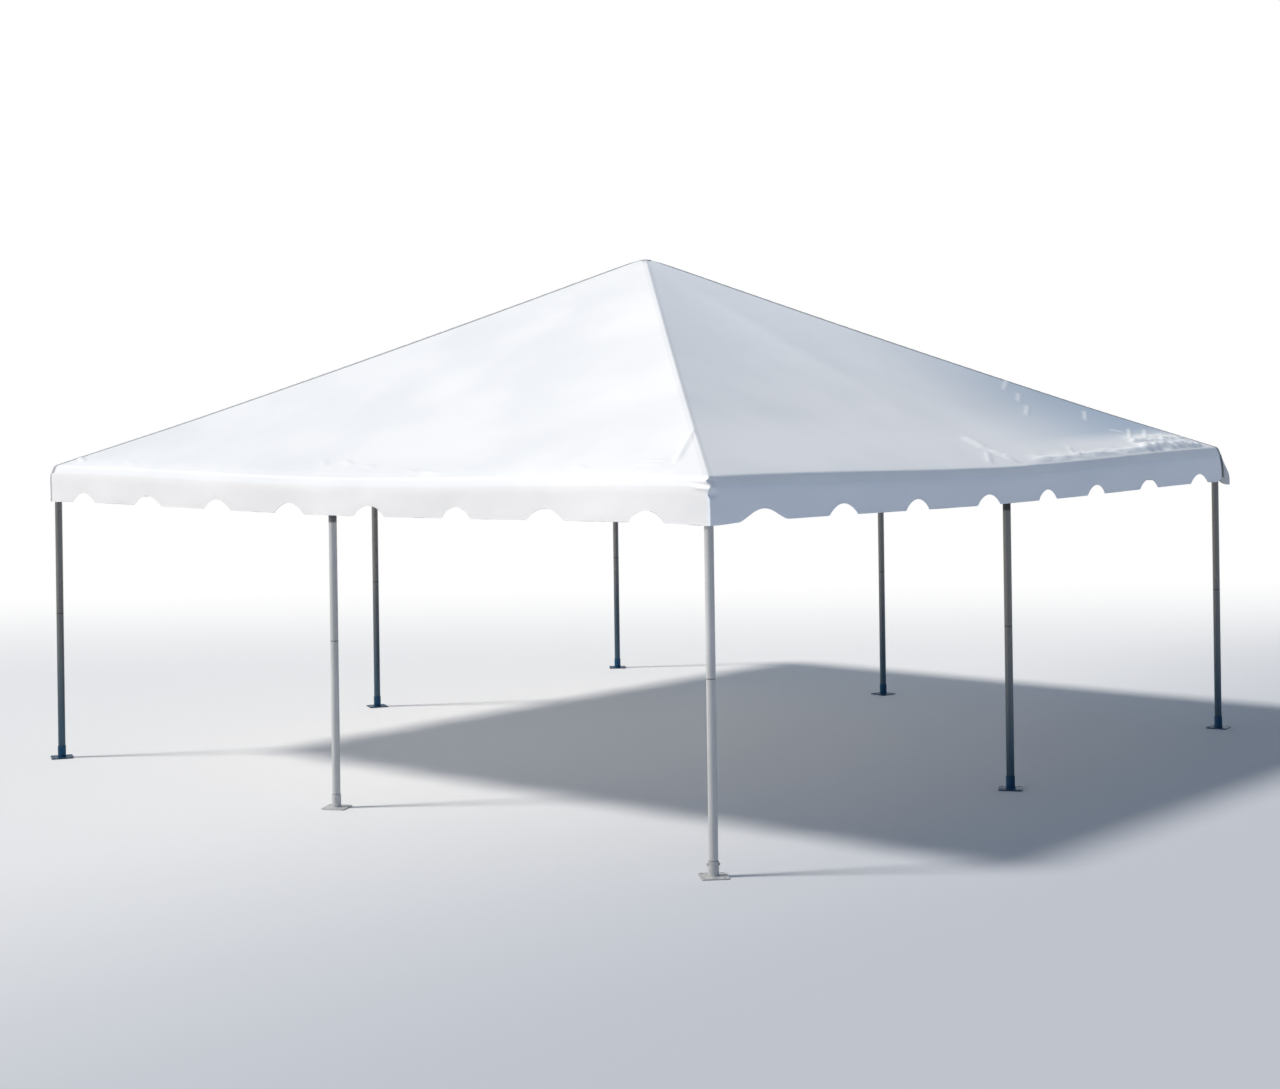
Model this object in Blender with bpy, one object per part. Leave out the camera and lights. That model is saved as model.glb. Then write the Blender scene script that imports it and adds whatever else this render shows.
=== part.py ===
"""A square frame tent with a pyramid roof, eight legs and a scalloped valance.

Metres, +Z up. The origin lies on the ground under the peak. The front looks along -Y and the
right-hand side along +X. Every pipe is set in a welded socket fitting, and the canopy lies over
the rafters and hangs down past the eave as a valance.
"""

import math

import bmesh
import bpy
from mathutils import Matrix, Vector

# Canopy
CANOPY_HALF = 3.050
PEAK_HEIGHT = 3.560
CORNER_HEIGHT = 2.095
EAVE_DIP = 0.045
ROOF_SAG = 0.022
PEAK_ROUNDING = 0.040
PEAK_OPENING = 0.001
CANOPY_THICKNESS = 0.010
SIDE_STEPS = 10
SLOPE_STEPS = 8

# Valance
VALANCE_DEPTH = 0.245
HEM_DIP = 0.026
VALANCE_THICKNESS = 0.004
ARCH_PITCH = 0.750
ARCH_WIDTH = 0.300
ARCH_RISE = 0.066
ARCH_STEPS = 6

# How far each of a hem's eight arches lies to the right of its even place, in centimetres
ARCH_SHIFT_CM = {
    "front": (-1, -1, 1, -1, 2, 1, -2, -2),
    "right": (3, 3, 4, 9, 8, -3, -1, 3),
    "back": (-1, -1, 1, -1, 2, 1, -2, -2),
    "left": (3, 3, 4, 9, 8, -3, -1, 3),
}

# Pipes, with the legs standing on a square of this half width
LEG_HALF = 3.015
PIPE_RADIUS = 0.0254
PIPE_SIDES = 16
LEG_JOINT_HEIGHT = 1.040

# Fittings
SOCKET_RADIUS = 0.0287
LEG_SOCKET_RADIUS = 0.0295
SOCKET_LENGTH = 0.200
CROWN_LENGTH = 0.240
BORE_DEPTH = 0.140
LEG_SOCKET_FOOT = 1.795
CROWN_HUB_RADIUS = 0.062
CROWN_HUB_BELOW = 0.045
CROWN_HUB_ABOVE = 0.006
CROWN_BOSS_RADIUS = 0.045

# Foot plates
PLATE_SIDE = 0.152
PLATE_THICKNESS = 0.006
PLATE_CORNER = 0.012
BASE_SOCKET_TOP = 0.084

# Clearance between two pieces that touch
GAP = 0.0003

# Each side is the front turned about the peak, and each corner the front left one
SIDES = {"front": 0, "right": 90, "back": 180, "left": 270}
CORNERS = {"front_left": 0, "front_right": 90, "back_right": 180, "back_left": 270}
EAVE_HALVES = {
    "front": ("left", "right"),
    "right": ("front", "back"),
    "back": ("right", "left"),
    "left": ("back", "front"),
}

# How far each foot plate happens to be turned on the ground, in degrees
CORNER_PLATE_TURN = {"front_left": 60, "front_right": 47, "back_right": 10, "back_left": 43}
SIDE_PLATE_TURN = {"front": 28, "right": 29, "back": 79, "left": 63}


def make_material(name, color, roughness, metallic):
    material = bpy.data.materials.new(name)
    material.use_nodes = True
    shader = material.node_tree.nodes["Principled BSDF"]
    shader.inputs["Base Color"].default_value = (*color, 1.0)
    shader.inputs["Roughness"].default_value = roughness
    shader.inputs["Metallic"].default_value = metallic
    return material


def add_object(name, mesh, material):
    obj = bpy.data.objects.new(name, mesh)
    bpy.context.scene.collection.objects.link(obj)
    mesh.materials.clear()
    mesh.materials.append(material)
    return obj


def shade_round(mesh):
    mesh.shade_smooth()
    mesh.set_sharp_from_angle(angle=math.radians(35))


def turned(angle_deg):
    return Matrix.Rotation(math.radians(angle_deg), 4, "Z")


def at_height(point, height):
    return Vector((point.x, point.y, height))


def rod_mesh(start, end, radius):
    """A closed round rod from start to end."""
    axis = end - start
    place = Matrix.Translation((start + end) / 2) @ axis.to_track_quat("Z", "Y").to_matrix().to_4x4()
    mesh = bpy.data.meshes.new("rod")
    shape = bmesh.new()
    bmesh.ops.create_cone(
        shape, cap_ends=True, segments=PIPE_SIDES, radius1=radius, radius2=radius,
        depth=axis.length, matrix=place)
    shape.to_mesh(mesh)
    shape.free()
    return mesh


def combine(target, tool_mesh, operation):
    """Joins a tool to the target, or cuts it away, and keeps only the result."""
    tool = bpy.data.objects.new("tool", tool_mesh)
    bpy.context.scene.collection.objects.link(tool)
    modifier = target.modifiers.new("combine", "BOOLEAN")
    modifier.operation = operation
    modifier.solver = "EXACT"
    modifier.object = tool
    evaluated = target.evaluated_get(bpy.context.evaluated_depsgraph_get())
    result = bpy.data.meshes.new_from_object(evaluated)
    target.modifiers.clear()
    target.data = result
    bpy.data.objects.remove(tool)


def eave_height(across):
    """Height of the canopy's edge, where across runs from -1 to 1 along a side."""
    return CORNER_HEIGHT - EAVE_DIP * math.cos(math.pi * across / 2) ** 2


def roof_height(across, out):
    """Height of the canopy's outer face, at a distance out from the peak square to the side."""
    reach = math.hypot(CANOPY_HALF, PEAK_ROUNDING) - PEAK_ROUNDING
    slope = (PEAK_HEIGHT - eave_height(across)) / reach
    fall = slope * (math.hypot(out, PEAK_ROUNDING) - PEAK_ROUNDING)
    share = out / CANOPY_HALF
    return PEAK_HEIGHT - fall - 4 * ROOF_SAG * share * (1 - share)


def roof_fall(across, out):
    """How steeply the roof falls there, for each metre out."""
    step = 0.01
    return (roof_height(across, out - step) - roof_height(across, out + step)) / (2 * step)


def axis_under_roof(across, out, radius):
    """Height of the axis of a pipe that just touches the canopy from below."""
    clearance = (radius + GAP) * math.hypot(1, roof_fall(0, out))
    return roof_height(across, out) - CANOPY_THICKNESS - clearance


def rafter_height(across, out):
    """Height of a straight rafter's axis: it touches the sagging canopy halfway up."""
    middle = CANOPY_HALF / 2
    return axis_under_roof(across, middle, PIPE_RADIUS) - roof_fall(across, middle) * (out - middle)


EAVE_AXIS_HEIGHT = axis_under_roof(0, LEG_HALF, SOCKET_RADIUS)


def row_out(index):
    """How far out from the peak a row of the roof panel's points lies, closer together at the peak."""
    return PEAK_OPENING + (CANOPY_HALF - PEAK_OPENING) * (index / SLOPE_STEPS) ** 2


def pipe(name, start, end, material):
    mesh = rod_mesh(start, end, PIPE_RADIUS)
    shade_round(mesh)
    return add_object(name, mesh, material)


def fitting(name, rods, mouths, material):
    """Round rods welded into one piece, each with a blind bore for a pipe at its mouths.

    A rod is its two ends and its radius, and a mouth is a point with the direction out of it.
    """
    obj = add_object(name, rod_mesh(*rods[0]), material)
    for rod in rods[1:]:
        combine(obj, rod_mesh(*rod), "UNION")
    for mouth, outward in mouths:
        bore = rod_mesh(mouth - outward * BORE_DEPTH, mouth + outward * BORE_DEPTH, PIPE_RADIUS + GAP)
        combine(obj, bore, "DIFFERENCE")
    shade_round(obj.data)
    return obj


def foot_plate(name, place, turn_deg, material):
    """A square plate with a short socket welded on, in one piece."""
    mesh = bpy.data.meshes.new(name)
    shape = bmesh.new()
    size = Matrix.Diagonal((PLATE_SIDE, PLATE_SIDE, PLATE_THICKNESS, 1))
    bmesh.ops.create_cube(shape, size=1, matrix=Matrix.Translation((0, 0, PLATE_THICKNESS / 2)) @ size)
    uprights = [edge for edge in shape.edges if edge.verts[0].co.xy == edge.verts[1].co.xy]
    bmesh.ops.bevel(shape, geom=uprights, offset=PLATE_CORNER, segments=2, affect="EDGES", profile=0.5)
    shape.to_mesh(mesh)
    shape.free()
    mesh.transform(Matrix.Translation(place) @ turned(turn_deg))
    obj = add_object(name, mesh, material)
    socket_top = at_height(place, BASE_SOCKET_TOP)
    combine(obj, rod_mesh(at_height(place, PLATE_THICKNESS / 2), socket_top, SOCKET_RADIUS), "UNION")
    bore = rod_mesh(at_height(place, PLATE_THICKNESS), at_height(place, 2 * BASE_SOCKET_TOP), PIPE_RADIUS + GAP)
    combine(obj, bore, "DIFFERENCE")
    shade_round(obj.data)
    return obj


def sheet_mesh(name, outer, inner):
    """A closed sheet between two grids of points, given as rows of equal length."""
    mesh = bpy.data.meshes.new(name)
    shape = bmesh.new()
    over = [[shape.verts.new(point) for point in row] for row in outer]
    under = [[shape.verts.new(point) for point in row] for row in inner]
    rim = []
    for i in range(len(over) - 1):
        rim += [(i, 0, i + 1, 0), (i + 1, -1, i, -1)]
        for j in range(len(over[0]) - 1):
            shape.faces.new((over[i][j], over[i][j + 1], over[i + 1][j + 1], over[i + 1][j]))
            shape.faces.new((under[i][j], under[i + 1][j], under[i + 1][j + 1], under[i][j + 1]))
    for j in range(len(over[0]) - 1):
        rim += [(0, j + 1, 0, j), (-1, j, -1, j + 1)]
    for i, j, k, m in rim:
        shape.faces.new((over[i][j], over[k][m], under[k][m], under[i][j]))
    bmesh.ops.recalc_face_normals(shape, faces=shape.faces)
    if shape.calc_volume(signed=True) < 0:
        bmesh.ops.reverse_faces(shape, faces=shape.faces)
    shape.to_mesh(mesh)
    shape.free()
    return mesh


def roof_panel(name, angle_deg, material):
    """One slope of the roof, from the peak to the eave and from hip to hip."""
    outer = []
    for i in range(SLOPE_STEPS + 1):
        out = row_out(i)
        row = []
        for j in range(SIDE_STEPS + 1):
            across = 2 * j / SIDE_STEPS - 1
            row.append(Vector((across * (out - GAP), -out, roof_height(across, out))))
        outer.append(row)
    inner = [[point - Vector((0, 0, CANOPY_THICKNESS)) for point in row] for row in outer]
    mesh = sheet_mesh(name, outer, inner)
    mesh.transform(turned(angle_deg))
    shade_round(mesh)
    return add_object(name, mesh, material)


def panel_edge_height(across):
    """Height of the roof panel's edge, which is straight from one of its points to the next."""
    place = (across + 1) / 2 * SIDE_STEPS
    index = min(int(place), SIDE_STEPS - 1)
    start = eave_height(2 * index / SIDE_STEPS - 1)
    end = eave_height(2 * (index + 1) / SIDE_STEPS - 1)
    return start + (end - start) * (place - index)


def arch_centres(side):
    """Where the arches of one side's hem have their middles, left to right."""
    shifts = ARCH_SHIFT_CM[side]
    first = -ARCH_PITCH * (len(shifts) - 1) / 2
    return [first + ARCH_PITCH * index + shift / 100 for index, shift in enumerate(shifts)]


def arch_rise(offset):
    """How far the hem is cut up, at an offset from the nearest arch's middle."""
    return ARCH_RISE * math.cos(math.pi * min(offset / ARCH_WIDTH, 0.5)) ** 2


def valance(side, angle_deg, material):
    """The flap that hangs along one side, with arches cut into its hem."""
    reach = CANOPY_HALF - GAP
    centres = arch_centres(side)
    stations = [reach * (2 * j / SIDE_STEPS - 1) for j in range(SIDE_STEPS + 1)]
    for centre in centres:
        stations += [centre + ARCH_WIDTH * (step / ARCH_STEPS - 0.5) for step in range(ARCH_STEPS + 1)]
    outer = [[], []]
    for along in sorted(stations):
        across = along / reach
        rise = arch_rise(min(abs(along - centre) for centre in centres))
        hem_dip = HEM_DIP * math.cos(math.pi * across / 2) ** 2
        top = panel_edge_height(across) - CANOPY_THICKNESS - GAP
        hem = CORNER_HEIGHT - VALANCE_DEPTH - hem_dip + rise
        outer[0].append(Vector((along, -CANOPY_HALF, top)))
        outer[1].append(Vector((along, -CANOPY_HALF, hem)))
    inset = (CANOPY_HALF - VALANCE_THICKNESS) / CANOPY_HALF
    inner = [[Vector((point.x * inset, point.y * inset, point.z)) for point in row] for row in outer]
    name = f"valance_{side}"
    mesh = sheet_mesh(name, outer, inner)
    mesh.transform(turned(angle_deg))
    return add_object(name, mesh, material)


def leg(name, place, turn_deg, pipe_material, plate_material):
    """A leg in two lengths, set in its foot plate's socket and in the fitting above."""
    foot_plate(f"foot_plate_{name}", place, turn_deg, plate_material)
    foot = at_height(place, PLATE_THICKNESS + GAP)
    joint = at_height(place, LEG_JOINT_HEIGHT)
    head = at_height(place, LEG_SOCKET_FOOT + BORE_DEPTH - GAP)
    pipe(f"leg_lower_{name}", foot, joint, pipe_material)
    pipe(f"leg_upper_{name}", at_height(place, LEG_JOINT_HEIGHT + GAP), head, pipe_material)


def rafter(name, foot, peak, material):
    """A straight pipe from the bore of an eave fitting to the bore of the crown."""
    along = (peak - foot).normalized()
    start = foot + along * (SOCKET_LENGTH - BORE_DEPTH + GAP)
    end = peak - along * (CROWN_LENGTH - BORE_DEPTH + GAP)
    return pipe(name, start, end, material)


def build_corner(name, angle_deg, pipe_material, fitting_material):
    """A corner's fitting, with sockets for the leg, two eave pipes and the hip rafter."""
    place = turned(angle_deg) @ Vector((-LEG_HALF, -LEG_HALF, 0))
    centre = at_height(place, EAVE_AXIS_HEIGHT)
    leg_mouth = at_height(place, LEG_SOCKET_FOOT)
    hip_foot = at_height(place, rafter_height(1, LEG_HALF))
    hip_peak = Vector((0, 0, rafter_height(1, 0)))
    hip_along = (hip_peak - hip_foot).normalized()
    rods = [(hip_foot, leg_mouth, LEG_SOCKET_RADIUS)]
    mouths = [(leg_mouth, Vector((0, 0, -1)))]
    for start, outward in (
            (hip_foot, hip_along),
            (centre, turned(angle_deg) @ Vector((1, 0, 0))),
            (centre, turned(angle_deg) @ Vector((0, 1, 0)))):
        mouth = start + outward * SOCKET_LENGTH
        rods.append((start, mouth, SOCKET_RADIUS))
        mouths.append((mouth, outward))
    fitting(f"corner_fitting_{name}", rods, mouths, fitting_material)
    rafter(f"hip_rafter_{name}", hip_foot, hip_peak, pipe_material)
    leg(name, place, CORNER_PLATE_TURN[name], pipe_material, fitting_material)


def build_side(name, angle_deg, pipe_material, fitting_material):
    """A side's middle fitting, with sockets for the leg, two eave pipes and a rafter."""
    along_side = turned(angle_deg) @ Vector((1, 0, 0))
    place = turned(angle_deg) @ Vector((0, -LEG_HALF, 0))
    centre = at_height(place, EAVE_AXIS_HEIGHT)
    leg_mouth = at_height(place, LEG_SOCKET_FOOT)
    left_mouth = centre - along_side * SOCKET_LENGTH
    right_mouth = centre + along_side * SOCKET_LENGTH
    rafter_foot = at_height(place, rafter_height(0, LEG_HALF))
    rafter_peak = Vector((0, 0, rafter_height(0, 0)))
    rafter_along = (rafter_peak - rafter_foot).normalized()
    rafter_mouth = rafter_foot + rafter_along * SOCKET_LENGTH
    rods = [
        (left_mouth, right_mouth, SOCKET_RADIUS),
        (centre, leg_mouth, LEG_SOCKET_RADIUS),
        (rafter_foot, rafter_mouth, SOCKET_RADIUS),
    ]
    mouths = [
        (left_mouth, -along_side),
        (right_mouth, along_side),
        (leg_mouth, Vector((0, 0, -1))),
        (rafter_mouth, rafter_along),
    ]
    fitting(f"side_fitting_{name}", rods, mouths, fitting_material)
    rafter(f"side_rafter_{name}", rafter_foot, rafter_peak, pipe_material)
    leg(f"{name}_mid", place, SIDE_PLATE_TURN[name], pipe_material, fitting_material)
    bore_end = SOCKET_LENGTH - BORE_DEPTH + GAP
    for half_name, direction in zip(EAVE_HALVES[name], (-1, 1)):
        start = centre + along_side * direction * (LEG_HALF - bore_end)
        end = centre + along_side * direction * bore_end
        pipe(f"eave_pipe_{name}_{half_name}", start, end, pipe_material)


def build_crown(fitting_material):
    """The crown at the peak: a hub with eight sockets, and a boss that carries the canopy."""
    axis_height = rafter_height(0, 0)
    boss_top = roof_height(0, row_out(1)) - CANOPY_THICKNESS - GAP
    hub_foot = Vector((0, 0, axis_height - CROWN_HUB_BELOW))
    hub_top = Vector((0, 0, axis_height + CROWN_HUB_ABOVE))
    rods = [(hub_foot, hub_top, CROWN_HUB_RADIUS)]
    mouths = []
    for across, angles in ((0, SIDES), (1, CORNERS)):
        peak = Vector((0, 0, rafter_height(across, 0)))
        foot = Vector((-LEG_HALF * across, -LEG_HALF, rafter_height(across, LEG_HALF)))
        for angle_deg in angles.values():
            outward = turned(angle_deg) @ (foot - peak).normalized()
            mouth = peak + outward * CROWN_LENGTH
            rods.append((peak, mouth, SOCKET_RADIUS))
            mouths.append((mouth, outward))
    rods.append((Vector((0, 0, axis_height)), Vector((0, 0, boss_top)), CROWN_BOSS_RADIUS))
    fitting("crown_fitting", rods, mouths, fitting_material)


def build():
    for obj in list(bpy.data.objects):
        bpy.data.objects.remove(obj, do_unlink=True)

    vinyl = make_material("white vinyl", (0.86, 0.88, 0.91), 0.45, 0.0)
    aluminium = make_material("pipe aluminium", (0.72, 0.74, 0.77), 0.35, 1.0)
    galvanised = make_material("galvanised steel", (0.53, 0.55, 0.58), 0.5, 1.0)

    for name, angle_deg in CORNERS.items():
        build_corner(name, angle_deg, aluminium, galvanised)
    for name, angle_deg in SIDES.items():
        build_side(name, angle_deg, aluminium, galvanised)
        roof_panel(f"roof_panel_{name}", angle_deg, vinyl)
        valance(name, angle_deg, vinyl)
    build_crown(galvanised)


build()
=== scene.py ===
import math

import bpy
from mathutils import Matrix, Vector, noise


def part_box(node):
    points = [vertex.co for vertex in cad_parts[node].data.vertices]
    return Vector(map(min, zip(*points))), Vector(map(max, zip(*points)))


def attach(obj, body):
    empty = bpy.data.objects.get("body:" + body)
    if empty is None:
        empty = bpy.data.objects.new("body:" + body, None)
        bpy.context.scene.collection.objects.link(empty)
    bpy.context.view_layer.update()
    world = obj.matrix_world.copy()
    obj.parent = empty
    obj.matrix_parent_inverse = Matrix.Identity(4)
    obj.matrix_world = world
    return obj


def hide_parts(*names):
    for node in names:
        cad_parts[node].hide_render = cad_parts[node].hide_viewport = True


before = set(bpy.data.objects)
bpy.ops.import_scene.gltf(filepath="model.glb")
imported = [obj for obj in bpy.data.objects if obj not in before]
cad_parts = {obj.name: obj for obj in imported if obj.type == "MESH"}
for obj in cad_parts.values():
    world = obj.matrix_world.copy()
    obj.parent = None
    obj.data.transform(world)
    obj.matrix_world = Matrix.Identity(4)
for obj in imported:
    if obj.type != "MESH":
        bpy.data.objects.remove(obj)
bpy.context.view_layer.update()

# Camera: it stands two and a half metres up, ten metres out from the near corner of the tent,
# and looks level at it. The lens is shifted down, which keeps the legs upright in the picture.
UP = Vector((0, 0, 1))
PHOTO_WIDTH = 1280
PHOTO_HEIGHT = 1089
FOCAL_PIXELS = 2018.5
HORIZON_ROW = 404.9
CAMERA_PLACE = Vector((9.696, -11.246, 2.482))
CAMERA_HEADING = math.radians(130.97)
CAMERA_ROLL = math.radians(-0.80)

lens = bpy.data.cameras.new("camera")
lens.sensor_width = 36
lens.lens = lens.sensor_width * FOCAL_PIXELS / PHOTO_WIDTH
lens.shift_y = (HORIZON_ROW - PHOTO_HEIGHT / 2) / PHOTO_WIDTH
camera = bpy.data.objects.new("camera", lens)
bpy.context.scene.collection.objects.link(camera)
bpy.context.scene.camera = camera
ahead = Vector((math.cos(CAMERA_HEADING), math.sin(CAMERA_HEADING), 0))
right_hand = ahead.cross(UP)
level = Matrix((right_hand, UP, -ahead)).transposed()
camera.matrix_world = (
    Matrix.Translation(CAMERA_PLACE)
    @ level.to_4x4()
    @ Matrix.Rotation(CAMERA_ROLL, 4, "Z")
)


# Foot plates: a square of 6 mm steel plate with a short upright socket welded to its middle,
# hot-dip galvanised. The leg drops into the socket and one bolt goes through both.
# Each plate lies turned a little differently on the ground, with four holes for stakes.
PLATE_SIDE = 0.152
PLATE_THICKNESS = 0.006
PLATE_CORNER = 0.012
STAKE_HOLE_RADIUS = 0.0085
STAKE_HOLE_OUT = 0.055
FOOT_SOCKET_RADIUS = 0.0287
FOOT_SOCKET_TOP = 0.084
SOCKET_WALL = 0.0030
SHARP_EDGE = 0.0007
MOUTH_EDGE = 0.0008
WELD_RADIUS = 0.0036
BEAD_POINTS = 120
RIPPLE_PITCH = 0.004
FOOT_BOLT_HEIGHT = 0.066
BOLT_RADIUS = 0.0040
BOLT_TAIL = 0.0085
HEAD_HEIGHT = 0.0040
NUT_HEIGHT = 0.0052
HEXAGON_RADIUS = 0.0075
WASHER_RADIUS = 0.0085
WASHER_THICKNESS = 0.0012
ROUND_SIDES = 48
# The two legs that stand in the light. The other legs and feet get metals with painted shade.
LIT_LEGS = ("front_right", "front_mid")
# How far each plate is turned on the ground, and the bolt through its socket.
FOOT_TURNS_DEG = {
    "front_left": (60, 150),
    "front_mid": (28, 118),
    "front_right": (47, 47),
    "right_mid": (29, 119),
    "back_right": (10, 100),
    "back_mid": (79, 169),
    "back_left": (43, 133),
    "left_mid": (63, 153),
}


class Value:
    """One value in a material's node tree. A sum written with it adds Math nodes."""

    def __init__(self, tree, socket=None):
        self.tree = tree
        self.socket = socket

    def node(self, kind, settings=(), inputs=(), output=0):
        """Adds a node, sets it up, feeds its sockets and returns one of its outputs."""
        made = self.tree.nodes.new("ShaderNode" + kind)
        for name, setting in dict(settings).items():
            setattr(made, name, setting)
        for name, value in dict(inputs).items():
            if isinstance(value, Value):
                self.tree.links.new(value.socket, made.inputs[name])
            else:
                made.inputs[name].default_value = value
        return Value(self.tree, made.outputs[output])

    def math(self, operation, *values):
        return self.node("Math", {"operation": operation}, enumerate(values))

    def __add__(self, other):
        return self.math("ADD", self, other)

    def __sub__(self, other):
        return self.math("SUBTRACT", self, other)

    def __rsub__(self, other):
        return self.math("SUBTRACT", other, self)

    def __mul__(self, other):
        return self.math("MULTIPLY", self, other)

    def __abs__(self):
        return self.math("ABSOLUTE", self)

    __radd__ = __add__
    __rmul__ = __mul__

    def ramp(self, low, high):
        """Goes softly from 0 to 1 as this value goes from low to high."""
        inputs = {"Value": self, "From Min": low, "From Max": high}
        return self.node("MapRange", {"interpolation_type": "SMOOTHSTEP"}, inputs)

    def tint(self, first, second):
        """The first colour where this value is 0, and the second where it is 1."""
        inputs = {0: self, 6: first, 7: second}
        return self.node("Mix", {"data_type": "RGBA"}, inputs, output=2)

    def stretched(self, x, y, z):
        return self.node("Mapping", inputs={"Vector": self, "Scale": (x, y, z)})

    def axis(self, name):
        return self.node("SeparateXYZ", inputs={"Vector": self}, output=name)

    def clouds(self, scale, detail=2):
        inputs = {"Vector": self, "Scale": scale, "Detail": detail}
        return self.node("TexNoise", inputs=inputs)

    def relief(self, distance):
        """The bumps that this value makes, that many metres high."""
        inputs = {"Height": self, "Distance": distance, "Strength": 1.0}
        return self.node("Bump", inputs=inputs, output="Normal")


def new_finish(name, metallic=0.0):
    """A new material, its shader, and the place on the object as a value."""
    material = bpy.data.materials.new(name)
    material.use_nodes = True
    tree = material.node_tree
    shader = tree.nodes["Principled BSDF"]
    shader.inputs["Metallic"].default_value = metallic
    return material, shader, Value(tree).node("TexCoord", output="Object")


def feed(shader, values):
    """Links values to sockets of a shader."""
    for name, value in values.items():
        value.tree.links.new(value.socket, shader.inputs[name])


def galvanised_steel(name, dark, light, metallic=0.85):
    """Zinc spangle in grey flakes, with duller patches and fine pitting."""
    material, shader, place = new_finish(name, metallic)
    flake = place.node("TexVoronoi", inputs={"Vector": place, "Scale": 90.0}, output="Color")
    flake = flake.axis("X")
    dull = place.clouds(7.0, detail=4).ramp(0.42, 0.64)
    grain = place.clouds(900.0)
    color = (flake * 0.5 + dull * 0.5).tint(dark + (1,), light + (1,))
    roughness = flake * 0.12 + dull * 0.16 + 0.34
    height = flake * 0.3 + grain * 0.7
    feed(shader, {"Base Color": color, "Roughness": roughness, "Normal": height.relief(0.00015)})
    return material


# Plain zinc for the fittings, painted-light pale zinc for the two lit feet, painted-shade
# blue-black for the rest.
GALVANISED = galvanised_steel("galvanised_steel", (0.30, 0.31, 0.32), (0.46, 0.47, 0.48))
LIT_FOOT = galvanised_steel("lit_foot_steel", (0.38, 0.38, 0.38), (0.60, 0.60, 0.60), 0.25)
SHADED_FOOT = galvanised_steel("shaded_foot_steel", (0.015, 0.060, 0.120), (0.035, 0.110, 0.200))


def settle():
    """Puts the active piece's place into its mesh."""
    bpy.ops.object.transform_apply(location=True, rotation=True, scale=True)


def apply_modifier(piece, kind, **settings):
    """Works a modifier into the piece's mesh."""
    modifier = piece.modifiers.new("work", kind)
    for name, setting in settings.items():
        setattr(modifier, name, setting)
    bpy.context.view_layer.objects.active = piece
    bpy.ops.object.modifier_apply(modifier=modifier.name)


def rod(start, end, radius, sides=ROUND_SIDES, ends="NGON"):
    """A round bar from start to end, closed or open at its ends."""
    bpy.ops.object.select_all(action="DESELECT")
    run = end - start
    bpy.ops.mesh.primitive_cylinder_add(
        vertices=sides, radius=radius, depth=run.length, end_fill_type=ends,
        location=(start + end) / 2, rotation=run.to_track_quat("Z", "Y").to_euler())
    settle()
    return bpy.context.object


def eased(piece, width=SHARP_EDGE):
    """Takes the sharp edges off a piece."""
    apply_modifier(piece, "BEVEL", width=width, segments=2, limit_method="ANGLE")
    return piece


def tube(start, end, radius, wall, edge=MOUTH_EDGE):
    """A hollow round tube with its cut edges taken off."""
    piece = rod(start, end, radius, ends="NOTHING")
    apply_modifier(piece, "SOLIDIFY", thickness=wall, offset=-1.0)
    return eased(piece, edge)


def cut(piece, tool):
    """Cuts the tool's shape out of the piece, and takes the tool away."""
    apply_modifier(piece, "BOOLEAN", operation="DIFFERENCE", solver="EXACT", object=tool)
    bpy.data.objects.remove(tool)


def weld(points):
    """A rippled bead of weld along a closed line."""
    bpy.ops.object.select_all(action="DESELECT")
    line = bpy.data.curves.new("weld", "CURVE")
    line.dimensions = "3D"
    line.bevel_depth = WELD_RADIUS
    line.bevel_resolution = 2
    spline = line.splines.new("POLY")
    spline.points.add(len(points) - 1)
    spline.use_cyclic_u = True
    length = sum((points[i] - points[i - 1]).length for i in range(len(points)))
    ripples = round(length / RIPPLE_PITCH)
    for index, point in enumerate(points):
        spline.points[index].co = (*point, 1)
        wave = math.cos(math.tau * ripples * index / len(points))
        spline.points[index].radius = 1 + 0.13 * wave
    piece = bpy.data.objects.new("weld", line)
    bpy.context.scene.collection.objects.link(piece)
    piece.select_set(True)
    bpy.context.view_layer.objects.active = piece
    bpy.ops.object.convert(target="MESH")
    return bpy.context.object


def ring(centre, radius):
    """Points along a level circle."""
    turns = [math.tau * index / BEAD_POINTS for index in range(BEAD_POINTS)]
    return [centre + radius * Vector((math.cos(turn), math.sin(turn), 0)) for turn in turns]


def joined(pieces):
    """Several meshes as one piece."""
    bpy.ops.object.select_all(action="DESELECT")
    for piece in pieces:
        piece.select_set(True)
    bpy.context.view_layer.objects.active = pieces[0]
    bpy.ops.object.join()
    return pieces[0]


def copied(piece, place):
    """A copy with a mesh of its own, moved by a matrix."""
    twin = piece.copy()
    twin.data = piece.data.copy()
    twin.data.transform(place)
    bpy.context.scene.collection.objects.link(twin)
    return twin


def finished(piece, name, material, smooth_deg=20):
    """Names a piece, shades it, gives it its material and lets it ride on the tent."""
    bpy.ops.object.select_all(action="DESELECT")
    piece.select_set(True)
    bpy.context.view_layer.objects.active = piece
    bpy.ops.object.shade_smooth_by_angle(angle=math.radians(smooth_deg))
    piece.name = name
    piece.data.name = name
    piece.data.materials.clear()
    piece.data.materials.append(material)
    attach(piece, "root")
    return piece


def through_bolt(radius):
    """A hexagon bolt with its washers and nut, across a round socket, along +Z."""
    seat = radius + WASHER_THICKNESS
    return eased(joined([
        rod(UP * radius, UP * seat, WASHER_RADIUS, sides=24),
        rod(UP * seat, UP * (seat + HEAD_HEIGHT), HEXAGON_RADIUS, sides=6),
        rod(UP * -radius, UP * -seat, WASHER_RADIUS, sides=24),
        rod(UP * -seat, UP * -(seat + NUT_HEIGHT), HEXAGON_RADIUS, sides=6),
        rod(UP * (radius - 0.002), UP * -(radius + BOLT_TAIL), BOLT_RADIUS, sides=24),
    ]))


def lies_along(point, direction):
    """The matrix that takes a piece made along +Z to a point and a direction."""
    return Matrix.Translation(point) @ direction.to_track_quat("Z", "Y").to_matrix().to_4x4()


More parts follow.
